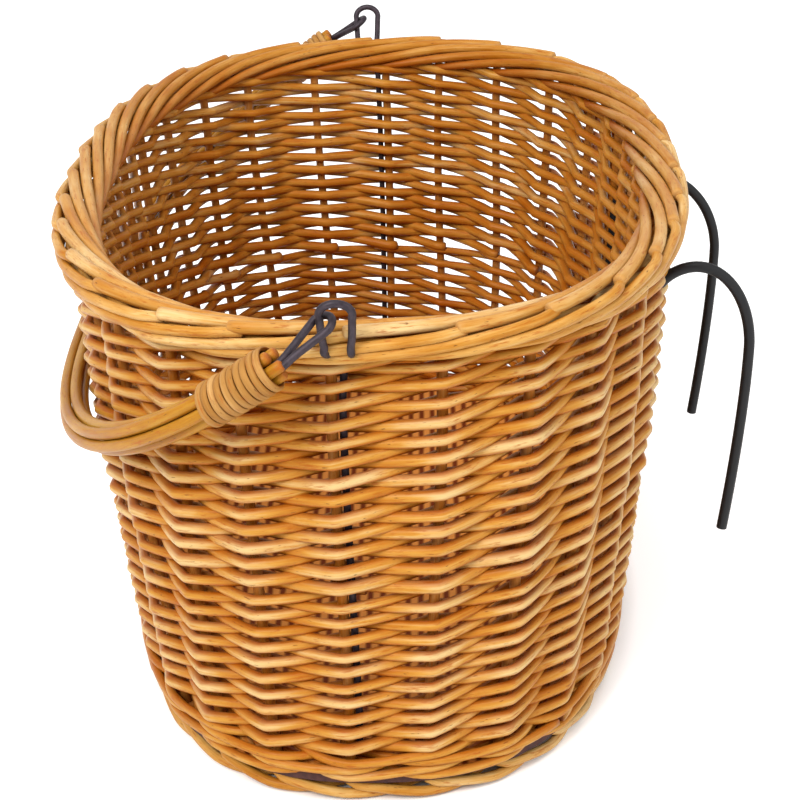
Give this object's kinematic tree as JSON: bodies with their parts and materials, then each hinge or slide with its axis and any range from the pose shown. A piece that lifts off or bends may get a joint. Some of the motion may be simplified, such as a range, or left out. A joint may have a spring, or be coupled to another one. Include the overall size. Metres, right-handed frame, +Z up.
{
  "type": "bicycle basket",
  "caption": "Oval woven willow bicycle basket with two wire handlebar hooks at the back and a swinging willow carrying handle.",
  "frame": {"origin": "centre of the bounding box in X and Y, at the height that the foot border stands on", "axes": "+Z up, +Y along the handlebar and the basket's long side, +X from the front of the basket to the handlebar hooks"},
  "size_m": [0.3084, 0.4596, 0.2354],
  "materials": {
    "willow_stake": "varnished peeled willow uprights",
    "willow_weave": "varnished buff willow, golden honey",
    "willow_border": "varnished buff willow, golden honey",
    "board": "dark stained board",
    "wire": "dark oxidised steel wire",
    "hook": "black coated steel rod",
    "handle_willow": "varnished buff willow",
    "cane": "split cane, paler tan"
  },
  "bodies": {
    "basket": {"base_board": "board", "foot_border": "willow_border", "stake_01": "willow_stake", "stake_02": "willow_stake", "stake_03": "willow_stake", "stake_04": "willow_stake", "stake_05": "willow_stake", "stake_06": "willow_stake", "stake_07": "willow_stake", "stake_08": "willow_stake", "stake_09": "willow_stake", "stake_10": "willow_stake", "stake_11": "willow_stake", "stake_12": "willow_stake", "stake_13": "willow_stake", "stake_14": "willow_stake", "stake_15": "willow_stake", "stake_16": "willow_stake", "stake_17": "willow_stake", "stake_18": "willow_stake", "stake_19": "willow_stake", "stake_20": "willow_stake", "stake_21": "willow_stake", "stake_22": "willow_stake", "stake_23": "willow_stake", "stake_24": "willow_stake", "stake_25": "willow_stake", "stake_26": "willow_stake", "stake_27": "willow_stake", "stake_28": "willow_stake", "stake_29": "willow_stake", "stake_30": "willow_stake", "bottom_wale": "willow_weave", "weave_course_01": "willow_weave", "weave_course_02": "willow_weave", "weave_course_03": "willow_weave", "weave_course_04": "willow_weave", "weave_course_05": "willow_weave", "weave_course_06": "willow_weave", "weave_course_07": "willow_weave", "weave_course_08": "willow_weave", "weave_course_09": "willow_weave", "weave_course_10": "willow_weave", "rim_border": "willow_border", "carrying_wire_near": "wire", "carrying_wire_far": "wire", "handlebar_hook_near": "hook", "handlebar_hook_far": "hook"},
    "handle": {"handle_rod_1": "handle_willow", "handle_rod_2": "handle_willow", "handle_rod_3": "handle_willow", "handle_rod_4": "handle_willow", "handle_rod_5": "handle_willow", "handle_eye_near": "wire", "handle_eye_far": "wire", "cane_wrap_near": "cane", "cane_wrap_far": "cane"}
  },
  "joints": [
    {"name": "handle_swing", "type": "hinge", "parent": "basket", "child": "handle", "pos_m": [-0.02018, 0, 0.228], "axis": [0, 1, 0], "range_deg": [0, 226]}
  ]
}
